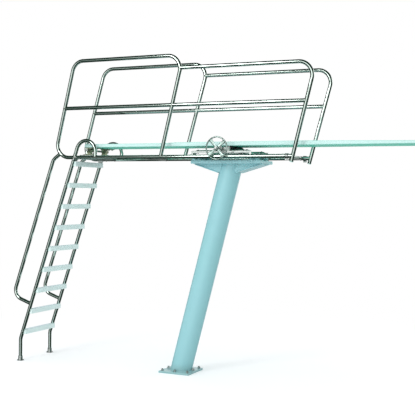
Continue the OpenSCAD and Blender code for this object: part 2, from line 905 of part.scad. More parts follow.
module wheel_nut() {
    color(steel) translate([shaft_x, wheel_y - 18, shaft_z]) rotate([90, 0, 0]) difference() {
        union() {
            cylinder(r = 19, h = 3);
            translate([0, 0, 3]) cylinder(r = 16, h = 14, $fn = 6);
        }
        translate([0, 0, -1]) cylinder(d = shaft_d, h = 20);
    }
}

// ---------------------------------------------------------------- hinge

hinge_plate_t = 12;
hinge_plate_z = stringer_z + tube_r + 0.05;
hinge_foot_z = hinge_plate_z + hinge_plate_t;
hinge_foot_t = 12;
hinge_base_y = 190;
boss_r = 25;
boss_len = 60;
leaf_t = 8;
leaf_z = board_z - leaf_t;
knuckle_r = 22;
knuckle_len = 30;
knuckle_gap = 2;
hinge_bolt_r = 6;
hinge_bolt_dx = [-52, 52];
leaf_bolt_x = [hinge_x + 45, hinge_x + 95];

module hinge_plate() {
    color(steel) difference() {
        translate([hinge_x - 90, -290, hinge_plate_z]) cube([200, 580, hinge_plate_t]);
        for (side = [-1, 1], dx = hinge_bolt_dx)
            translate([hinge_x + dx, side * hinge_base_y, 0]) cylinder(r = hinge_bolt_r, h = big);
    }
}

module hinge_base() {
    web_t = 26;
    difference() {
        union() {
            translate([hinge_x - 75, -hinge_base_y - 38, hinge_foot_z]) cube([150, 76, hinge_foot_t]);
            along_y(hinge_x, -hinge_base_y - boss_len / 2, hinge_z, boss_len, boss_r);
            translate([hinge_x - web_t, -hinge_base_y - boss_len / 2, hinge_foot_z])
                cube([2 * web_t, boss_len, hinge_z - hinge_foot_z - 14]);
        }
        along_y(hinge_x, -hinge_base_y - 50, hinge_z, 100, pin_d / 2);
        for (dx = hinge_bolt_dx)
            translate([hinge_x + dx, -hinge_base_y, 0]) cylinder(r = hinge_bolt_r, h = big);
    }
}

module hinge_bases() {
    color(cast) both_sides() hinge_base();
}

// Screws into the hinge plate, which end at its underside
module hinge_bolts() {
    head_z = hinge_foot_z + hinge_foot_t + 1.3 * hinge_bolt_r + 2;
    color(steel) both_sides() for (dx = hinge_bolt_dx)
        bolt_down(hinge_x + dx, -hinge_base_y, head_z, hinge_bolt_r, hinge_foot_t + hinge_plate_t);
}

pin_reach = 272;

module hinge_pin() {
    color(steel) along_y(hinge_x, -pin_reach, hinge_z, 2 * pin_reach, pin_d / 2);
}

module pin_collars() {
    color(steel) both_sides() difference() {
        along_y(hinge_x, -pin_reach + 3, hinge_z, 12, 20);
        along_y(hinge_x, -pin_reach, hinge_z, 30, pin_d / 2);
    }
}

module hinge_leaf() {
    low_y = -hinge_base_y - boss_len / 2 - knuckle_gap - knuckle_len;
    width = boss_len + 2 * knuckle_gap + 2 * knuckle_len;
    difference() {
        union() {
            translate([hinge_x - 30, low_y, leaf_z]) cube([150, width, leaf_t]);
            for (y = [low_y, low_y + width - knuckle_len]) {
                along_y(hinge_x, y, hinge_z, knuckle_len, knuckle_r);
                translate([hinge_x - 16, y, hinge_z]) cube([32, knuckle_len, leaf_z - hinge_z + 1]);
            }
        }
        along_y(hinge_x, low_y - 1, hinge_z, width + 2, pin_d / 2 + running);
        for (x = leaf_bolt_x, dy = [-40, 40])
            translate([x, -hinge_base_y + dy, 0]) cylinder(r = hinge_bolt_r, h = big);
    }
}

module hinge_leaves() {
    color(cast) both_sides() hinge_leaf();
}

// ---------------------------------------------------------------- board

ramp_x0 = -140;
ramp_x1 = 0;
taper_x = 1700;
plank_tip_x = board_tip_x - tip_cap_t;
rear_block_x = hinge_x + 130;
top_skin_t = 3.5;
bottom_skin_t = 2.5;
rib_t = 4;
side_rail_t = 8;
bay_count = 5;
bay_w = (board_w - 2 * side_rail_t - (bay_count - 1) * rib_t) / bay_count;
// Height of the plank's top face, without the tread surface
tail_top = board_z + board_tail_t - surface_t;
full_top = board_z + board_t - surface_t;
tip_top = board_z + board_tip_t - surface_t;
function plank_top(x) =
    x <= ramp_x0 ? tail_top :
    x <= ramp_x1 ? tail_top + (full_top - tail_top) * (x - ramp_x0) / (ramp_x1 - ramp_x0) :
    x <= taper_x ? full_top :
    full_top + (tip_top - full_top) * (x - taper_x) / (board_tip_x - taper_x);

// Side view between two X values, from a low height to the top face lowered by drop
function side_view(x0, x1, low, drop) = concat(
    [[x0, low], [x1, low]],
    [for (x = [x1, taper_x, ramp_x1, ramp_x0, x0]) [x, plank_top(x) - drop]]
);

module across(width, y) {
    translate([0, y + width, 0]) rotate([90, 0, 0]) linear_extrude(width) children();
}

module leaf_bolt_holes() {
    both_sides() for (x = leaf_bolt_x, dy = [-40, 40])
        translate([x, -hinge_base_y + dy, 0]) cylinder(r = hinge_bolt_r, h = big);
}

// A hollow section with lengthwise bays, solid at its rear end and closed by the cap at its tip
module board_plank() {
    color("paleturquoise") difference() {
        across(board_w, -board_w / 2) polygon(side_view(board_rear_x, plank_tip_x, board_z, 0));
        for (k = [0 : bay_count - 1])
            across(bay_w, -board_w / 2 + side_rail_t + k * (bay_w + rib_t))
                polygon(side_view(rear_block_x, plank_tip_x, board_z + bottom_skin_t, top_skin_t));
        leaf_bolt_holes();
    }
}

surface_y = board_w / 2 - 12;

module board_surface() {
    sheet = concat(
        [for (x = [board_rear_x + 10, ramp_x0, ramp_x1, taper_x, plank_tip_x]) [x, plank_top(x)]],
        [for (x = [plank_tip_x, taper_x, ramp_x1, ramp_x0, board_rear_x + 10])
            [x, plank_top(x) + surface_t]]
    );
    color("aliceblue") difference() {
        across(2 * surface_y, -surface_y) polygon(sheet);
        leaf_bolt_holes();
    }
}

module board_tip_cap() {
    low = board_z;
    top = plank_top(plank_tip_x) + surface_t;
    color("aliceblue") across(board_w, -board_w / 2)
        polygon([[plank_tip_x, low], [board_tip_x - 8, low], [board_tip_x, low + 8],
            [board_tip_x, top - 8], [board_tip_x - 8, top], [plank_tip_x, top]]);
}

// Button head bolts through the board and the hinge leaves, with nuts below
module board_bolts() {
    head_t = 3;
    nut_t = 9;
    top = board_z + board_tail_t;
    color(steel) both_sides() for (x = leaf_bolt_x, dy = [-40, 40])
        translate([x, -hinge_base_y + dy, 0]) {
            translate([0, 0, top]) cylinder(r = 13, h = head_t);
            translate([0, 0, leaf_z - nut_t - 3]) cylinder(r = hinge_bolt_r, h = top - leaf_z + nut_t + 3);
            translate([0, 0, leaf_z - nut_t]) cylinder(r = 11, h = nut_t, $fn = 6);
        }
}

// ---------------------------------------------------------------- the whole stand

base_plate();
anchor_nuts();
pedestal_tube();
head_plate();
head_skirts();
gusset_webs();
gusset_flanges();
head_saddles();
saddle_straps();
saddle_bolts();
stringer_near();
on_side(1) stringer_near();  // stringer_far
cross_ties();
on_side(-1) guard_rear();  // guard_rear_near
on_side(1) guard_rear();  // guard_rear_far
on_side(-1) guard_front();  // guard_front_near
on_side(1) guard_front();  // guard_front_far
on_side(-1) mid_rails();  // mid_rails_near
on_side(1) mid_rails();  // mid_rails_far
front_collars();
frame_bolts();
on_side(-1) ladder_rail();  // ladder_rail_near
on_side(1) ladder_rail();  // ladder_rail_far
ladder_hoops();
ladder_handrails();
ladder_splices();
ladder_feet();
tread(0);  // tread_1
tread(1);  // tread_2
tread(2);  // tread_3
tread(3);  // tread_4
tread(4);  // tread_5
tread(5);  // tread_6
tread(6);  // tread_7
tread(7);  // tread_8
tread(8);  // tread_9
tread_bolts();
track_rails();
racks();
rail_bumpers();
slide_blocks();
block_liners();
carriage_tie();
roller_axle();
roller_core();
roller_cover();
drive_shaft();
pinions();
hand_wheel();
wheel_nut();
hinge_plate();
hinge_bases();
hinge_bolts();
hinge_pin();
pin_collars();
hinge_leaves();
board_bolts();
board_plank();
board_surface();
board_tip_cap();
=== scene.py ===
"""Diving board stand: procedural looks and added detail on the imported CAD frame. Metres, +Z up."""

import json
import math

import bmesh
import bpy
from mathutils import Matrix, Vector


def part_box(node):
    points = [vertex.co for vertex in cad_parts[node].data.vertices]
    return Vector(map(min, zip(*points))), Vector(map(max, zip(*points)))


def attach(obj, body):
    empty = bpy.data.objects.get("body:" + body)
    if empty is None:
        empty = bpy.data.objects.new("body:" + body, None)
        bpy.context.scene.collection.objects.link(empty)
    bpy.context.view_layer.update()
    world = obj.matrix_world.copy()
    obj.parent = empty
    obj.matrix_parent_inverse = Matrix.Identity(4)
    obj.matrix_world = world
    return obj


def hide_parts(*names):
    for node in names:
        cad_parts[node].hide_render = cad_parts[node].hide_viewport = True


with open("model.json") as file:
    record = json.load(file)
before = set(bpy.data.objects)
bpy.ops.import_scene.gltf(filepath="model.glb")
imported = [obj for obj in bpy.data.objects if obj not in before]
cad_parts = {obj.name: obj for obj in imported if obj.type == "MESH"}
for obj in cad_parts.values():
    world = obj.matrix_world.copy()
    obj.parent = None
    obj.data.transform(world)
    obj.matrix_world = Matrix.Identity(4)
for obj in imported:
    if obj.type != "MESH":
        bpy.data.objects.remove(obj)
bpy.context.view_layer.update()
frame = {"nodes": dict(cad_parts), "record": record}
NODES = frame["nodes"]
scene = bpy.context.scene
scene.view_settings.view_transform = "Standard"

# ------------------------------------------------------------------ camera
CAMERA_AT = Vector((4.936, -10.150, 2.2655))
YAW, PITCH, ROLL = math.radians(24.317), math.radians(0.7555), math.radians(0.729)
FOCAL_PX, IMAGE_PX, SENSOR_MM = 876.5, 415.0, 36.0

forward = Vector((-math.sin(YAW) * math.cos(PITCH), math.cos(YAW) * math.cos(PITCH), -math.sin(PITCH)))
level = Vector((math.cos(YAW), math.sin(YAW), 0.0))
upward = level.cross(forward)
right = math.cos(ROLL) * level + math.sin(ROLL) * upward
up = -math.sin(ROLL) * level + math.cos(ROLL) * upward
camera = bpy.data.objects.new("camera", bpy.data.cameras.new("camera"))
scene.collection.objects.link(camera)
camera.data.sensor_width = SENSOR_MM
camera.data.lens = FOCAL_PX / IMAGE_PX * SENSOR_MM
camera.data.clip_end = 200.0
camera.matrix_world = Matrix.Translation(CAMERA_AT) @ Matrix((right, up, -forward)).transposed().to_4x4()
scene.camera = camera

# ------------------------------------------------------------------ sizes read from the frame
low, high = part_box("stringer_near")
TUBE_R = (high.z - low.z) / 2
STRINGER_Z = (high.z + low.z) / 2
HALF_W = -(high.y + low.y) / 2
POST_RAKE, SPLAY, LADDER_RAKE = math.radians(14.4), math.radians(1.87), math.radians(18.7)
REAR_POST_X, MIDDLE_POST_X, FRONT_POST_X = -1.733, -0.152, 1.596
LADDER_TOP_X = -1.427
MID_RAIL_Z = 3.395
TIE_X = (-1.345, -1.215, -0.420, 0.266, 1.039, 1.470)
TRACK_LEG_X = (0.266, 1.039)


# ------------------------------------------------------------------ materials
def new_material(name):
    mat = bpy.data.materials.new(name)
    mat.use_nodes = True
    nodes, links = mat.node_tree.nodes, mat.node_tree.links
    return mat, nodes, links, nodes["Principled BSDF"]


def noise(nodes, links, coords, scale, detail=4.0, stretch=(1, 1, 1)):
    mapping = nodes.new("ShaderNodeMapping")
    mapping.inputs["Scale"].default_value = stretch
    tex = nodes.new("ShaderNodeTexNoise")
    tex.inputs["Scale"].default_value = scale
    tex.inputs["Detail"].default_value = detail
    links.new(coords.outputs["Object"], mapping.inputs["Vector"])
    links.new(mapping.outputs["Vector"], tex.inputs["Vector"])
    return tex.outputs["Fac"]


def ramp(nodes, links, fac, stops):
    node = nodes.new("ShaderNodeValToRGB")
    links.new(fac, node.inputs["Fac"])
    while len(node.color_ramp.elements) < len(stops):
        node.color_ramp.elements.new(0.5)
    for element, (place, colour) in zip(node.color_ramp.elements, stops):
        element.position = place
        element.color = (*colour, 1.0)
    return node.outputs["Color"]


def span(nodes, links, fac, low_value, high_value, from_low=0.3, from_high=0.7):
    """Maps fac from one range to another and stops at its ends."""
    node = nodes.new("ShaderNodeMapRange")
    node.inputs["From Min"].default_value = from_low
    node.inputs["From Max"].default_value = from_high
    node.inputs["To Min"].default_value = low_value
    node.inputs["To Max"].default_value = high_value
    links.new(fac, node.inputs["Value"])
    return node.outputs["Result"]


def mix(nodes, links, fac, a, b, blend="MIX"):
    node = nodes.new("ShaderNodeMix")
    node.data_type = "RGBA"
    node.blend_type = blend
    for socket, value in ((node.inputs[0], fac), (node.inputs[6], a), (node.inputs[7], b)):
        if isinstance(value, bpy.types.NodeSocket):
            links.new(value, socket)
        elif isinstance(value, (int, float)):
            socket.default_value = value
        else:
            socket.default_value = (*value, 1.0)
    return node.outputs[2]


def choose(nodes, links, fac, a, b):
    """Shader a where fac is 0, shader b where it is 1. fac is a socket or a number."""
    node = nodes.new("ShaderNodeMixShader")
    if isinstance(fac, bpy.types.NodeSocket):
        links.new(fac, node.inputs["Fac"])
    else:
        node.inputs["Fac"].default_value = fac
    links.new(a, node.inputs[1])
    links.new(b, node.inputs[2])
    return node.outputs["Shader"]


def bumps(nodes, links, principled, layers):
    """layers: (height socket, distance in metres), each laid over the one before."""
    last = None
    for height, distance in layers:
        node = nodes.new("ShaderNodeBump")
        node.inputs["Distance"].default_value = distance
        node.inputs["Strength"].default_value = 1.0
        links.new(height, node.inputs["Height"])
        if last is not None:
            links.new(last, node.inputs["Normal"])
        last = node.outputs["Normal"]
    links.new(last, principled.inputs["Normal"])


def scuffs(nodes, links, coords):
    """Small scattered marks in the paint, in patches rather than everywhere."""
    patches = noise(nodes, links, coords, 7.0, 4.0)
    marks = noise(nodes, links, coords, 150.0, 6.0)
    where = span(nodes, links, patches, 0.0, 1.0, 0.50, 0.62)
    mark = span(nodes, links, marks, 0.0, 1.0, 0.58, 0.64)
    both = nodes.new("ShaderNodeMath")
    both.operation = "MULTIPLY"
    links.new(where, both.inputs[0])
    links.new(mark, both.inputs[1])
    return both.outputs["Value"]


def metal(name, colour, dark, rough, brush=(1, 1, 1), brush_scale=60.0, brush_depth=0.00004, stain=0.25):
    """Metal, bare or thinly coated: clouded, with a fine grain that brush stretches. dark is its stains."""
    mat, nodes, links, bsdf = new_material(name)
    coords = nodes.new("ShaderNodeTexCoord")
    cloud = noise(nodes, links, coords, 5.0, 5.0)
    grain = noise(nodes, links, coords, brush_scale, 3.0, brush)
    tone = mix(nodes, links, span(nodes, links, cloud, 0.0, stain), colour, dark)
    tone = mix(nodes, links, span(nodes, links, grain, 0.0, 0.12), tone, dark)
    links.new(tone, bsdf.inputs["Base Color"])
    bsdf.inputs["Metallic"].default_value = 1.0
    spots = noise(nodes, links, coords, 38.0, 6.0)
    links.new(span(nodes, links, spots, rough * 0.75, rough * 1.35), bsdf.inputs["Roughness"])
    bumps(nodes, links, bsdf, [(grain, brush_depth), (cloud, brush_depth * 4)])
    return mat


def paint(name, colour, shade, chip, dirt):
    """Sprayed gloss paint with orange peel. chip colours its marks; dirt is its share near the deck."""
    rough, peel, coat = 0.34, 0.00008, 0.25
    mat, nodes, links, bsdf = new_material(name)
    coords = nodes.new("ShaderNodeTexCoord")
    cloud = noise(nodes, links, coords, 1.6, 5.0)
    fine = noise(nodes, links, coords, 240.0, 2.0)
    streak = noise(nodes, links, coords, 9.0, 5.0, (1, 1, 0.12))
    tone = mix(nodes, links, span(nodes, links, cloud, 0.0, 0.55), colour, shade)
    tone = mix(nodes, links, span(nodes, links, streak, 0.0, 0.16, 0.5, 0.8), tone, shade)
    split = nodes.new("ShaderNodeSeparateXYZ")
    links.new(coords.outputs["Object"], split.inputs["Vector"])
    low_part = span(nodes, links, split.outputs["Z"], dirt, 0.0, 0.02, 0.12)
    tone = mix(nodes, links, low_part, tone, (0.30, 0.36, 0.32))
    tone = mix(nodes, links, scuffs(nodes, links, coords), tone, chip)
    links.new(tone, bsdf.inputs["Base Color"])
    links.new(span(nodes, links, streak, rough * 0.85, rough * 1.25), bsdf.inputs["Roughness"])
    bsdf.inputs["Coat Weight"].default_value = coat
    bsdf.inputs["Coat Roughness"].default_value = 0.12
    bumps(nodes, links, bsdf, [(fine, peel), (cloud, peel * 6)])
    return mat


def moulded(name, colour, shade, rough=0.5, grain_scale=420.0, grain=0.00012):
    """Plastic or rubber with a cell grain and long scratches."""
    mat, nodes, links, bsdf = new_material(name)
    coords = nodes.new("ShaderNodeTexCoord")
    cloud = noise(nodes, links, coords, 6.0, 4.0)
    cells = nodes.new("ShaderNodeTexVoronoi")
    cells.inputs["Scale"].default_value = grain_scale
    links.new(coords.outputs["Object"], cells.inputs["Vector"])
    scratch = noise(nodes, links, coords, 26.0, 6.0, (1, 0.15, 1))
    tone = mix(nodes, links, span(nodes, links, cloud, 0.0, 0.6), colour, shade)
    tone = mix(nodes, links, span(nodes, links, scratch, 0.0, 0.2, 0.55, 0.75), tone, shade)
    links.new(tone, bsdf.inputs["Base Color"])
    links.new(span(nodes, links, scratch, rough * 0.85, rough * 1.2), bsdf.inputs["Roughness"])
    bsdf.inputs["Specular IOR Level"].default_value = 0.25
    bumps(nodes, links, bsdf, [(cells.outputs["Distance"], grain), (scratch, grain * 0.6)])
    return mat


def board_paint():
    """Baked teal paint below, a pale strip on the sides."""
    mat, nodes, links, bsdf = new_material("board_paint")
    coords = nodes.new("ShaderNodeTexCoord")
    geometry = nodes.new("ShaderNodeNewGeometry")
    split = nodes.new("ShaderNodeSeparateXYZ")
    links.new(geometry.outputs["True Normal"], split.inputs["Vector"])
    below = span(nodes, links, split.outputs["Z"], 1.0, 0.0, -0.8, -0.4)
    cloud = noise(nodes, links, coords, 3.0, 5.0)
    streak = noise(nodes, links, coords, 30.0, 4.0, (0.05, 1, 1))
    pale = mix(nodes, links, span(nodes, links, cloud, 0.0, 1.0), (0.70, 0.92, 0.89), (0.62, 0.88, 0.83))
    teal = mix(nodes, links, span(nodes, links, cloud, 0.0, 1.0), (0.16, 0.74, 0.56), (0.12, 0.66, 0.49))
    tone = mix(nodes, links, below, pale, teal)
    tone = mix(nodes, links, span(nodes, links, streak, 0.0, 0.12), tone, (0.34, 0.66, 0.60))
    links.new(tone, bsdf.inputs["Base Color"])
    links.new(span(nodes, links, streak, 0.38, 0.55), bsdf.inputs["Roughness"])
    bsdf.inputs["Specular IOR Level"].default_value = 0.25
    bumps(nodes, links, bsdf, [(streak, 0.00006), (cloud, 0.0003)])
    return mat


def grit():
    """The board's top: sharp grains in a painted coat."""
    mat, nodes, links, bsdf = new_material("board_grit")
    coords = nodes.new("ShaderNodeTexCoord")
    cells = nodes.new("ShaderNodeTexVoronoi")
    cells.inputs["Scale"].default_value = 300.0
    links.new(coords.outputs["Object"], cells.inputs["Vector"])
    cloud = noise(nodes, links, coords, 4.0, 6.0)
    tone = mix(nodes, links, span(nodes, links, cloud, 0.0, 1.0), (0.60, 0.80, 0.80), (0.48, 0.72, 0.73))
    grains = ramp(nodes, links, cells.outputs["Distance"], [(0.05, (1, 1, 1)), (0.5, (0.72, 0.78, 0.78))])
    tone = mix(nodes, links, 0.6, tone, grains, "MULTIPLY")
    links.new(tone, bsdf.inputs["Base Color"])
    bsdf.inputs["Roughness"].default_value = 0.85
    bumps(nodes, links, bsdf, [(cells.outputs["Distance"], 0.0012), (cloud, 0.0004)])
    return mat


STEEL, STEEL_DARK = (0.72, 0.83, 0.77), (0.36, 0.50, 0.42)
LOOKS = {
    "aqua_paint": paint("aqua_paint", (0.345, 0.650, 0.700), (0.310, 0.630, 0.650),
                        chip=(0.28, 0.56, 0.60), dirt=0.35),
    "stainless": metal("stainless", (0.66, 0.70, 0.68), (0.34, 0.40, 0.38), 0.34, (1, 0.08, 1), 160.0),
    "polished_tube": metal("polished_tube", STEEL, STEEL_DARK, 0.09, (1, 1, 1), 420.0, 0.000004, 0.18),
    "tread_plastic": moulded("tread_plastic", (0.84, 0.97, 0.95), (0.75, 0.89, 0.88),
                             grain_scale=160.0, grain=0.00005),
    "cast_bracket": metal("cast_bracket", (0.52, 0.56, 0.40), (0.28, 0.33, 0.22), 0.48,
                          (1, 1, 1), 300.0, 0.0003),
    "board_paint": board_paint(),
    "board_grit": grit(),
    "cap_plastic": moulded("cap_plastic", (0.50, 0.86, 0.78), (0.42, 0.78, 0.70)),
    "black_rubber": moulded("black_rubber", (0.018, 0.020, 0.020), (0.035, 0.038, 0.036), 0.62, 700.0),
    "liner_plastic": moulded("liner_plastic", (0.74, 0.73, 0.66), (0.62, 0.61, 0.54), 0.4),
    "core_aluminium": metal("core_aluminium", (0.70, 0.72, 0.71), (0.45, 0.48, 0.47), 0.3,
                            (1, 0.05, 1), 200.0),
    "wheel_paint": metal("wheel_paint", (0.52, 0.66, 0.61), (0.20, 0.31, 0.27), 0.24,
                         (1, 1, 1), 260.0, 0.00008, 0.35),
}
WELD = metal("weld_bead", (0.62, 0.64, 0.60), (0.36, 0.32, 0.24), 0.36, (1, 1, 1), 220.0, 0.0002, 0.6)
GRIP = moulded("tread_grip", (0.80, 0.89, 0.91), (0.68, 0.79, 0.82), 0.62, 260.0, 0.0003)

slots = {row["node"]: row["material_slot"] for row in frame["record"]["subparts"]}
SMOOTH_ANGLE = math.radians(32)
TREAD_EDGE = 0.005


def soften(obj, width):
    """Joins the split vertices and rounds the hard edges."""
    weld = obj.modifiers.new("weld", "WELD")
    weld.merge_threshold = 0.00002
    edge = obj.modifiers.new("edge", "BEVEL")
    edge.width = width
    edge.segments = 2
    edge.limit_method = "ANGLE"
    edge.angle_limit = SMOOTH_ANGLE
    edge.harden_normals = True
    edge.use_clamp_overlap = True


# Edge radius, in metres, of the nodes with hard edges to round, apart from the treads
BOXY = {
    "head_plate": 0.002, "head_skirts": 0.0015, "gusset_webs": 0.0015,
    "gusset_flanges": 0.0015, "head_saddles": 0.003, "saddle_straps": 0.001, "hinge_plate": 0.002,
    "hinge_bases": 0.003, "hinge_leaves": 0.0015, "slide_blocks": 0.004, "carriage_tie": 0.0015,
    "ladder_splices": 0.0012, "ladder_feet": 0.0015, "front_collars": 0.0012, "board_plank": 0.0025,
    "board_tip_cap": 0.003, "rail_bumpers": 0.0015, "pin_collars": 0.001,
    "tread_bolts": 0.0006, "frame_bolts": 0.0008, "saddle_bolts": 0.0006, "hinge_bolts": 0.0008,
    "board_bolts": 0.0008, "wheel_nut": 0.001,
}
for node_name, obj in NODES.items():
    obj.data.materials.clear()
    obj.data.materials.append(LOOKS[slots[node_name]])
    is_tread = node_name.startswith("tread_") and node_name != "tread_bolts"
    width = TREAD_EDGE if is_tread else BOXY.get(node_name)
    if width:
        soften(obj, width)


# ------------------------------------------------------------------ piece building
def make_piece(name, mesh, material, body, slot_name, *replaced):
    obj = bpy.data.objects.new(name, mesh)
    scene.collection.objects.link(obj)
    mesh.materials.append(material)
    for face in mesh.polygons:
        face.use_smooth = True
    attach(obj, body)
    if replaced:
        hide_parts(*replaced)
    return obj


def mesh_of(name, bm):
    bmesh.ops.recalc_face_normals(bm, faces=bm.faces)
    mesh = bpy.data.meshes.new(name)
    bm.to_mesh(mesh)
    bm.free()
    return mesh


def turns(steps):
    """The angles of equal steps round a circle."""
    return [2 * math.pi * k / steps for k in range(steps)]


def frame_of(axis):
    """Two unit vectors across an axis."""
    u = axis.orthogonal().normalized()
    return u, axis.cross(u)


def ring(bm, centre, radius, u, v, steps):
    """A circle of points in the plane of u and v."""
    return [bm.verts.new(centre + radius * (math.cos(a) * u + math.sin(a) * v)) for a in turns(steps)]


def skin(bm, a, b):
    """Faces between two rings of as many points."""
    count = len(a)
    for k in range(count):
        bm.faces.new((a[k], a[(k + 1) % count], b[(k + 1) % count], b[k]))


def cap_ends(bm, rings):
    bm.faces.new(rings[0])
    bm.faces.new(reversed(rings[-1]))


def sweep(bm, points, radii, closed, outward=None, sides=8):
    """A round bead through the points. outward gives each point's reference direction."""
    count = len(points)
    rings = []
    for i, point in enumerate(points):
        after = points[(i + 1) % count] if closed or i + 1 < count else point
        before = points[i - 1] if closed or i > 0 else point
        along = (after - before).normalized()
        side = outward[i] if outward else Vector((0, 0, 1))
        if abs(side.dot(along)) > 0.95:
            side = Vector((0, 1, 0))
        side = (side - side.dot(along) * along).normalized()
        other = along.cross(side)
        rings.append(ring(bm, point, radii[i], side, other, sides))
    for i in range(count if closed else count - 1):
        skin(bm, rings[i], rings[(i + 1) % count])
    if not closed:
        cap_ends(bm, rings)


RIPPLE_PITCH, RIPPLE_DEPTH = 0.003, 0.16
COPE_STEPS = 150


def ripple(count, radius, length):
    """Bead radii that ripple along the weld."""
    waves = max(4, round(length / RIPPLE_PITCH))
    return [radius * (1 + RIPPLE_DEPTH * math.sin(2 * math.pi * waves * i / count)) for i in range(count)]


def cope_line(p, d, r, q, e, big_r):
    """Where a branch tube from p along d, of radius r, meets the tube of radius big_r about q + t e."""
    u, v = frame_of(d)
    across = d - d.dot(e) * e
    points, outs = [], []
    for a in turns(COPE_STEPS):
        out = math.cos(a) * u + math.sin(a) * v
        w = p + r * out - q
        w = w - w.dot(e) * e
        half = w.dot(across)
        square = across.length_squared
        t = (-half + math.sqrt(max(half * half - square * (w.length_squared - big_r * big_r), 0.0))) / square
        points.append(p + r * out + t * d)
        outs.append(out)
    return points, outs


def mirrored(points):
    return [Vector((p.x, -p.y, p.z)) for p in points]


def in_guard(x, z):
    rise = z - STRINGER_Z
    return Vector((x, -HALF_W - rise * math.sin(SPLAY), STRINGER_Z + rise * math.cos(SPLAY)))


def guard_dir(x, z):
    return Vector((x, -z * math.sin(SPLAY), z * math.cos(SPLAY))).normalized()


def post_x(foot, z):
    return foot + math.tan(POST_RAKE) * (z - STRINGER_Z)


def ladder_x(z):
    return LADDER_TOP_X + math.tan(LADDER_RAKE) * (z - STRINGER_Z)


# ------------------------------------------------------------------ weld beads on the tubes
X, Y, Z = Vector((1, 0, 0)), Vector((0, 1, 0)), Vector((0, 0, 1))
stringer_at = Vector((0, -HALF_W, STRINGER_Z))
post_dir = guard_dir(math.sin(POST_RAKE), math.cos(POST_RAKE))
ladder_dir = Vector((math.sin(LADDER_RAKE), 0, math.cos(LADDER_RAKE)))
handrail_dir = Vector((-math.cos(LADDER_RAKE), 0, math.sin(LADDER_RAKE)))
STUB_Z, FRONT_TOP_Z, HOOP_FRONT_X, FRONT_RAIL_REAR_X = 0.779, 3.851, -1.109, 0.1226
HANDRAIL_END, HANDRAIL_VERTEX, REAR_BEND = (-1.640, 2.806), (-1.776, 2.722), (-1.520, 2.915)
TRACK_R, TRACK_Y = 0.01905, 0.250


def at_frame(x, z):
    return Vector((x, -HALF_W, z))


def post_weld(foot, side):
    p = in_guard(post_x(foot, MID_RAIL_Z), MID_RAIL_Z)
    return p, side * X, TUBE_R, p, post_dir, TUBE_R


rear_end = at_frame(*HANDRAIL_END)
rear_out = (at_frame(*HANDRAIL_VERTEX) - rear_end).normalized()
bend_radial = (rear_end - at_frame(*REAR_BEND)).normalized()
front_foot = at_frame(FRONT_POST_X, STRINGER_Z)
front_rail_end = in_guard(FRONT_RAIL_REAR_X, FRONT_TOP_Z)
# Each line: a branch's start, direction and radius, then a point, direction and radius of what it meets
joints = {
    "guard": [
        (in_guard(MIDDLE_POST_X, STRINGER_Z), post_dir, TUBE_R, stringer_at, X, TUBE_R),
        (front_foot, -X, TUBE_R, front_foot, post_dir, TUBE_R),
        post_weld(REAR_POST_X, 1), post_weld(MIDDLE_POST_X, -1), post_weld(MIDDLE_POST_X, 1),
        post_weld(FRONT_POST_X, -1),
        (front_rail_end, X, TUBE_R, front_rail_end, guard_dir(0, 1), TUBE_R),
    ],
    "ladder": [
        (at_frame(LADDER_TOP_X, STRINGER_Z), ladder_dir, TUBE_R, stringer_at, X, TUBE_R),
        (at_frame(HOOP_FRONT_X, STRINGER_Z), Z, TUBE_R, stringer_at, X, TUBE_R),
        (at_frame(LADDER_TOP_X, STRINGER_Z), -ladder_dir, TUBE_R, stringer_at, X, TUBE_R),
        (at_frame(ladder_x(STUB_Z), STUB_Z), handrail_dir, TUBE_R,
         at_frame(ladder_x(STUB_Z), STUB_Z), ladder_dir, TUBE_R),
        (rear_end, rear_out, TUBE_R, rear_end, bend_radial.cross(Y).normalized(), TUBE_R),
    ],
    "cross": [(Vector((x, -HALF_W, STRINGER_Z)), Y, TUBE_R, stringer_at, X, TUBE_R) for x in TIE_X]
    + [(Vector((x, -TRACK_Y, STRINGER_Z)), Z, TRACK_R, Vector((x, 0, STRINGER_Z)), Y, TUBE_R)
       for x in TRACK_LEG_X],
}
BEAD_R = 0.0032
for group, lines in joints.items():
    for side_name in ("near", "far"):
        bm = bmesh.new()
        for line in lines:
            points, outs = cope_line(*line)
            if side_name == "far":
                points, outs = mirrored(points), mirrored(outs)
            length = sum((points[i] - points[i - 1]).length for i in range(len(points)))
            sweep(bm, points, ripple(len(points), BEAD_R, length), True, outs)
        name = f"weld_{group}_{side_name}"
        make_piece(name, mesh_of(name, bm), WELD, "stand", "stainless")


# ------------------------------------------------------------------ plugs in the front posts
def revolve(bm, profile, at, axis, steps=40, closed=False):
    """Turns (radius, distance along axis) pairs round the axis."""
    u, v = frame_of(axis)
    rings = []
    for r, along in profile:
        rings.append(ring(bm, at + along * axis, r, u, v, steps))
    for a, b in zip(rings, rings[1:] + (rings[:1] if closed else [])):
        skin(bm, a, b)
    if not closed:
        cap_ends(bm, rings)


def hex_nut(bm, at, axis, flats, height, bore):
    """A chamfered hexagon round a bore, standing on at."""
    u, v = frame_of(axis)
    sides, steps = 6, 36
    apothem, chamfer = flats / 2, flats * 0.06
    rings = []
    for level, flat, scale in ((0, 0, 0.97), (chamfer, 1, 1), (height - chamfer, 1, 1), (height, 0, 0.97)):
        outline = []
        for a in turns(steps):
            inside = (a + math.pi / sides) % (2 * math.pi / sides) - math.pi / sides
            r = apothem / math.cos(inside) if flat else apothem * scale
            outline.append(bm.verts.new(at + level * axis + r * (math.cos(a) * u + math.sin(a) * v)))
        rings.append(outline)
    for level in (height, 0):
        rings.append(ring(bm, at + level * axis, bore, u, v, steps))
    for a, b in zip(rings, rings[1:] + rings[:1]):
        skin(bm, a, b)


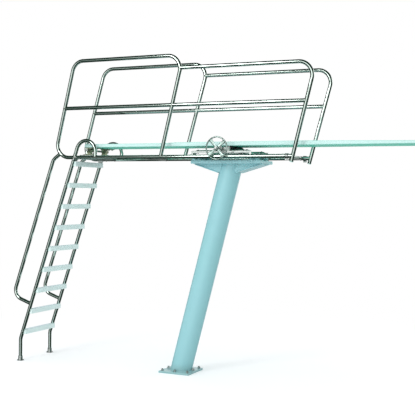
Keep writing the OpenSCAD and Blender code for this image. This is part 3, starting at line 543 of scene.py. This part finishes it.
bm = bmesh.new()
POST_DROP = 0.066
for mirror_y in (1, -1):
    foot = in_guard(post_x(FRONT_POST_X, STRINGER_Z - POST_DROP), STRINGER_Z - POST_DROP)
    axis = -post_dir
    foot = Vector((foot.x, mirror_y * foot.y, foot.z))
    axis = Vector((axis.x, mirror_y * axis.y, axis.z))
    plug = [(TUBE_R - 0.0035, -0.015), (TUBE_R - 0.0035, 0.0), (TUBE_R - 0.0002, 0.0004),
            (TUBE_R - 0.0006, 0.003), (TUBE_R - 0.004, 0.0055), (TUBE_R * 0.5, 0.0075), (0.001, 0.008)]
    revolve(bm, plug, foot, axis)
make_piece("front_post_plugs", mesh_of("front_post_plugs", bm), LOOKS["cap_plastic"], "stand", "cap_plastic")

# ------------------------------------------------------------------ anchor nuts with washers and stud ends
bm = bmesh.new()
plate_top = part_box("base_plate")[1].z
REACH, STUD_R = 0.176, 0.010
WASHER_T, NUT_FLATS, NUT_H, NUT_BORE_R = 0.003, 0.028, 0.016, 0.0105
THREADS, THREAD_PITCH = 16, 0.0015
places = [(sx * REACH, sy * REACH) for sx in (-1, 1) for sy in (-1, 1)]
places += [(REACH, 0), (-REACH, 0), (0, REACH), (0, -REACH)]
for x, y in places:
    at = Vector((x, y, plate_top))
    washer = [(0.0112, 0.0), (0.0185, 0.0), (0.0188, 0.0006), (0.0188, 0.0024),
              (0.0182, WASHER_T), (0.0112, WASHER_T)]
    revolve(bm, washer, at, Z, 36, closed=True)
    hex_nut(bm, at + WASHER_T * Z, Z, NUT_FLATS, NUT_H, NUT_BORE_R)
    thread = [(0.0104, 0.004)]
    for k in range(THREADS):
        thread += [(STUD_R - 0.0008, 0.0045 + THREAD_PITCH * k), (STUD_R, 0.0051 + THREAD_PITCH * k)]
    thread += [(STUD_R - 0.002, 0.0300), (0.001, 0.0302)]
    revolve(bm, thread, at, Z, 28)
make_piece("anchor_hardware", mesh_of("anchor_hardware", bm), LOOKS["stainless"],
           "stand", "stainless", "anchor_nuts")

# ------------------------------------------------------------------ painted welds on the pedestal and head
PEDESTAL_RAKE, PEDESTAL_R = math.radians(14.35), 0.1365
BASE_BEAD, HEAD_BEAD, PLATE_BEAD = 0.006, 0.005, 0.004
RING_STEPS, BEAD_PITCH = 220, 0.0012
pedestal_dir = Vector((math.sin(PEDESTAL_RAKE), 0, math.cos(PEDESTAL_RAKE)))
head_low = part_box("head_plate")[0]
web_low, web_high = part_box("gusset_webs")
bm = bmesh.new()


def ring_at(height, bead):
    """A bead round the leaning pedestal where a level plane cuts it."""
    u, v = frame_of(pedestal_dir)
    points, outs = [], []
    for a in turns(RING_STEPS):
        rim = math.cos(a) * u + math.sin(a) * v
        start = PEDESTAL_R * rim
        points.append(start + (height - start.z) / pedestal_dir.z * pedestal_dir)
        outs.append(rim)
    sweep(bm, points, ripple(RING_STEPS, bead, 2 * math.pi * PEDESTAL_R), True, outs)


def line_bead(a, b):
    a, b = Vector(a), Vector(b)
    count = max(8, int((b - a).length / BEAD_PITCH))
    points = [a.lerp(b, i / (count - 1)) for i in range(count)]
    sweep(bm, points, ripple(count, PLATE_BEAD, (b - a).length), False)


def pedestal_x(z):
    return math.tan(PEDESTAL_RAKE) * z


ring_at(plate_top + 0.001, BASE_BEAD)
ring_at(head_low.z - 0.001, HEAD_BEAD)
WEB_Y, WEB_T, GUSSET_Z, GUSSET_TOE = 0.100, 0.012, web_low.z, 0.120
END_INSET, CORNER_INSET = 0.01, 0.006
SKIRT_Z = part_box("head_skirts")[0].z
chord = math.sqrt(PEDESTAL_R ** 2 - WEB_Y ** 2) / math.cos(PEDESTAL_RAKE)
for side in (-1, 1):
    for face in (-1, 1):
        y = side * WEB_Y + face * WEB_T / 2
        line_bead((web_low.x + END_INSET, y, head_low.z), (pedestal_x(head_low.z) - chord, y, head_low.z))
        line_bead((pedestal_x(head_low.z) + chord, y, head_low.z), (web_high.x - END_INSET, y, head_low.z))
        for way in (-1, 1):
            skirt_x = web_low.x if way < 0 else web_high.x
            toe = pedestal_x(GUSSET_Z) + way * GUSSET_TOE
            line_bead((skirt_x, y, SKIRT_Z), (toe, y, GUSSET_Z))
            edge = pedestal_x(GUSSET_Z) + way * chord, pedestal_x(head_low.z) + way * chord
            line_bead((edge[0], y, GUSSET_Z + CORNER_INSET), (edge[1], y, head_low.z - CORNER_INSET))
make_piece("weld_head", mesh_of("weld_head", bm), LOOKS["aqua_paint"], "stand", "aqua_paint")

# ------------------------------------------------------------------ grip pads on the treads
RIBS, RIB_H, PAD_T = 8, 0.0016, 0.0012
PAD_INSET, PAD_SINK, PAD_END_GAP = 0.008, 0.001, 0.016
for i in range(1, 10):
    low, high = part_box(f"tread_{i}")
    x0, x1, top = low.x + PAD_INSET, high.x - PAD_INSET, high.z
    pitch = (x1 - x0) / RIBS
    section = [(x0, top - PAD_SINK)]
    for k in range(RIBS):
        left = x0 + k * pitch
        section += [(left + 0.15 * pitch, top + PAD_T), (left + 0.30 * pitch, top + PAD_T + RIB_H),
                    (left + 0.70 * pitch, top + PAD_T + RIB_H), (left + 0.85 * pitch, top + PAD_T)]
    section.append((x1, top - PAD_SINK))
    bm = bmesh.new()
    reach = HALF_W - TUBE_R - PAD_END_GAP
    ends = [[bm.verts.new((x, y, z)) for x, z in section] for y in (-reach, reach)]
    skin(bm, *ends)
    cap_ends(bm, ends)
    pad = make_piece(f"tread_grip_{i}", mesh_of(f"tread_grip_{i}", bm), GRIP, "stand", "tread_plastic")
    for face in pad.data.polygons:
        face.use_smooth = False

# ------------------------------------------------------------------ roller cover with grooves
low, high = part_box("roller_cover")
axle = Vector(((low.x + high.x) / 2, 0, (low.z + high.z) / 2))
cover_r = (high.z - low.z) / 2
GROOVES, GROOVE_DEPTH, END_BAND, WALL = 14, 0.0016, 0.03, 0.008
bay = (high.y - low.y - END_BAND) / GROOVES
# Distance below the rim and distance in from the end, from the bore's corner to the full diameter
END_CORNER = [(WALL, 0.0), (0.003, 0.0), (0.0006, 0.0015), (0.0, 0.005)]
profile = [(cover_r - drop, low.y + inset) for drop, inset in END_CORNER]
for k in range(GROOVES):
    y = low.y + 0.015 + k * bay
    floor_r = cover_r - GROOVE_DEPTH
    profile += [(cover_r, y + 0.001), (floor_r, y + 0.002), (floor_r, y + 0.0045), (cover_r, y + 0.0055)]
profile += [(cover_r - drop, high.y - inset) for drop, inset in reversed(END_CORNER)]
bm = bmesh.new()
revolve(bm, profile, axle, Y, 72, closed=True)
make_piece("roller_rubber", mesh_of("roller_rubber", bm), LOOKS["black_rubber"],
           "roller", "black_rubber", "roller_cover")

# ------------------------------------------------------------------ cast hand wheel
low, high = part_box("hand_wheel")
hub = (low + high) / 2
RIM_R = 0.009
rim_at = (high.z - low.z) / 2 - RIM_R
hub_half = (high.y - low.y) / 2
bm = bmesh.new()
RIM_STEPS, RIM_SIDES = 160, 20
ring_points = [hub + rim_at * Vector((math.cos(a), 0, math.sin(a))) for a in turns(RIM_STEPS)]
rim_outward = [(p - hub).normalized() for p in ring_points]
sweep(bm, ring_points, [RIM_R] * RIM_STEPS, True, rim_outward, RIM_SIDES)
hub_profile = [(0.0095, -hub_half), (0.022, -hub_half), (0.0245, -hub_half + 0.003), (0.027, -0.004),
               (0.027, 0.004), (0.0245, hub_half - 0.003), (0.022, hub_half), (0.0095, hub_half)]
revolve(bm, hub_profile, hub, Y, 60, closed=True)


def squarish(value):
    """Rounds a circle's cosine or sine towards a rounded rectangle."""
    return math.copysign(abs(value) ** 0.6, value)


SPOKES, SPOKE_START = 4, 39
SPOKE_ROOT, SPOKE_STATIONS, SPOKE_SIDES = 0.018, 16, 20
for s in range(SPOKES):
    a = math.radians(SPOKE_START + 360 / SPOKES * s)
    along, wide = Vector((math.cos(a), 0, math.sin(a))), Vector((-math.sin(a), 0, math.cos(a)))
    rings = []
    for step in range(SPOKE_STATIONS + 1):
        t = step / SPOKE_STATIONS
        reach = SPOKE_ROOT + (rim_at - SPOKE_ROOT) * t
        half_wide = 0.0125 + 0.010 * t + 0.006 * max(0.0, t - 0.8) / 0.2
        half_thick = 0.0055 - 0.0015 * math.sin(math.pi * t)
        rings.append([bm.verts.new(hub + reach * along + half_wide * squarish(math.cos(b)) * wide
                                   + half_thick * squarish(math.sin(b)) * Y) for b in turns(SPOKE_SIDES)])
    for ra, rb in zip(rings, rings[1:]):
        skin(bm, ra, rb)
    cap_ends(bm, rings)
wheel = make_piece("wheel_casting", mesh_of("wheel_casting", bm), LOOKS["wheel_paint"],
                   "drive", "wheel_paint", "hand_wheel")
fuse = wheel.modifiers.new("fuse", "REMESH")
fuse.mode = "VOXEL"
fuse.voxel_size = 0.0016
fuse.use_smooth_shade = True
fillet = wheel.modifiers.new("fillet", "SMOOTH")
fillet.factor = 0.5
fillet.iterations = 6

# ------------------------------------------------------------------ edge trims along the board
RAMP_X, TAPER_X = (-0.140, 0.0), 1.700
low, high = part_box("board_plank")
tip_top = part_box("board_tip_cap")[1].z
sheet_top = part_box("board_surface")[1].z
SHEET, TAIL_T = 0.0015, 0.040
TRIM_INSET, TRIM_SIDES = 0.004, 12
TOP_TRIM_R, TOP_TRIM_IN, LOW_TRIM_R, LOW_TRIM_IN = 0.0052, 0.0055, 0.0035, 0.003
plank_full = sheet_top - SHEET
plank_tail = low.z + TAIL_T - SHEET
profile_points = [(low.x + TRIM_INSET, plank_tail), (RAMP_X[0], plank_tail), (RAMP_X[1], plank_full),
                  (TAPER_X, plank_full), (high.x, tip_top - SHEET)]
bm = bmesh.new()
for side in (-1, 1):
    y = side * (high.y - TOP_TRIM_IN)
    top_line = [Vector((x, y, z)) for x, z in profile_points]
    sweep(bm, top_line, [TOP_TRIM_R] * len(top_line), False, None, TRIM_SIDES)
    y = side * (high.y - LOW_TRIM_IN)
    low_line = [Vector((x, y, low.z + TRIM_INSET)) for x in (low.x + TRIM_INSET, high.x)]
    sweep(bm, low_line, [LOW_TRIM_R] * len(low_line), False, None, TRIM_SIDES)
make_piece("board_edge_trims", mesh_of("board_edge_trims", bm), LOOKS["cap_plastic"], "board", "cap_plastic")

# ------------------------------------------------------------------ floor, lights, world
floor_mesh = bpy.data.meshes.new("floor")
FLOOR = 60.0
corners = [(x, y, 0) for x, y in ((-FLOOR, -FLOOR), (FLOOR, -FLOOR), (FLOOR, FLOOR), (-FLOOR, FLOOR))]
floor_mesh.from_pydata(corners, [], [(0, 1, 2, 3)])
floor = bpy.data.objects.new("floor", floor_mesh)
scene.collection.objects.link(floor)
FADE_FROM, FADE_TO = 2.5, 6.0
DARK_SHARE = 0.55
floor_mat, nodes, links, pale = new_material("floor")
pale.inputs["Base Color"].default_value = (0.93, 0.93, 0.93, 1)
pale.inputs["Roughness"].default_value = 0.9
pale.inputs["Specular IOR Level"].default_value = 0.0
pale.inputs["Emission Color"].default_value = (1, 1, 1, 1)
pale.inputs["Emission Strength"].default_value = 0.16
white = nodes.new("ShaderNodeEmission")
bounce = nodes.new("ShaderNodeBsdfDiffuse")
bounce.inputs["Color"].default_value = (0.86, 0.89, 0.88, 1)
clear = nodes.new("ShaderNodeBsdfTransparent")
dark = nodes.new("ShaderNodeBsdfDiffuse")
dark.inputs["Color"].default_value = (0.03, 0.045, 0.04, 1)
place = nodes.new("ShaderNodeTexCoord")
from_middle = nodes.new("ShaderNodeVectorMath")
from_middle.operation = "LENGTH"
links.new(place.outputs["Object"], from_middle.inputs[0])
fade = span(nodes, links, from_middle.outputs["Value"], 0.0, 1.0, FADE_FROM, FADE_TO)
rays = nodes.new("ShaderNodeLightPath")
seen = choose(nodes, links, fade, pale.outputs["BSDF"], white.outputs["Emission"])
in_tubes = choose(nodes, links, DARK_SHARE, clear.outputs["BSDF"], dark.outputs["BSDF"])
unseen = choose(nodes, links, rays.outputs["Is Glossy Ray"], bounce.outputs["BSDF"], in_tubes)
whole = choose(nodes, links, rays.outputs["Is Camera Ray"], unseen, seen)
links.new(whole, nodes["Material Output"].inputs["Surface"])
floor_mesh.materials.append(floor_mat)

world = bpy.data.worlds.new("studio")
scene.world = world
world.use_nodes = True
nodes, links = world.node_tree.nodes, world.node_tree.links
nodes.clear()
out = nodes.new("ShaderNodeOutputWorld")
paths = nodes.new("ShaderNodeLightPath")
coords = nodes.new("ShaderNodeTexCoord")


def backdrop(direction, stops, strength, both_ways, squeeze=1.0):
    """Light whose colour follows the angle to one direction. squeeze above 1 narrows it in height."""
    squash = nodes.new("ShaderNodeVectorMath")
    squash.operation = "MULTIPLY"
    squash.inputs[1].default_value = (1.0, 1.0, squeeze)
    links.new(coords.outputs["Generated"], squash.inputs[0])
    unit = nodes.new("ShaderNodeVectorMath")
    unit.operation = "NORMALIZE"
    links.new(squash.outputs["Vector"], unit.inputs[0])
    facing = nodes.new("ShaderNodeVectorMath")
    facing.operation = "DOT_PRODUCT"
    facing.inputs[1].default_value = Vector(direction).normalized()
    links.new(unit.outputs["Vector"], facing.inputs[0])
    amount = facing.outputs["Value"]
    if both_ways:
        size = nodes.new("ShaderNodeMath")
        size.operation = "ABSOLUTE"
        links.new(amount, size.inputs[0])
        amount = size.outputs["Value"]
    low_end = 0.0 if both_ways else -1.0
    node = nodes.new("ShaderNodeBackground")
    tone = ramp(nodes, links, span(nodes, links, amount, 0.0, 1.0, low_end, 1.0), stops)
    links.new(tone, node.inputs["Color"])
    node.inputs["Strength"].default_value = strength
    return node.outputs["Background"]


seen = nodes.new("ShaderNodeBackground")
seen.inputs["Color"].default_value = (1, 1, 1, 1)
fill = backdrop((-0.42, -0.85, 0.30), [(0.12, (0.36, 0.40, 0.41)), (0.68, (0.96, 0.98, 1.0))], 1.08, False)
DARK_STOPS = [(0.0, (0.003, 0.012, 0.008)), (0.78, (0.010, 0.032, 0.022)), (0.87, (1.0, 1.0, 1.0))]
strips = backdrop((0.06, -1.0, 0.0), DARK_STOPS, 1.45, True, 1.6)
around = choose(nodes, links, paths.outputs["Is Glossy Ray"], fill, strips)
whole = choose(nodes, links, paths.outputs["Is Camera Ray"], around, seen.outputs["Background"])
links.new(whole, out.inputs["Surface"])


def area_light(name, place, target, size, power):
    data = bpy.data.lights.new(name, "AREA")
    data.shape = "DISK"
    data.size = size
    data.energy = power
    obj = bpy.data.objects.new(name, data)
    scene.collection.objects.link(obj)
    obj.location = place
    obj.rotation_euler = (Vector(target) - Vector(place)).to_track_quat("-Z", "Y").to_euler()


area_light("key", (-2.5, -8.0, 6.0), (0, 0, 2), 3.0, 170)
area_light("side", (6.0, 6.0, 6.0), (0.5, 0, 2), 3.0, 50)
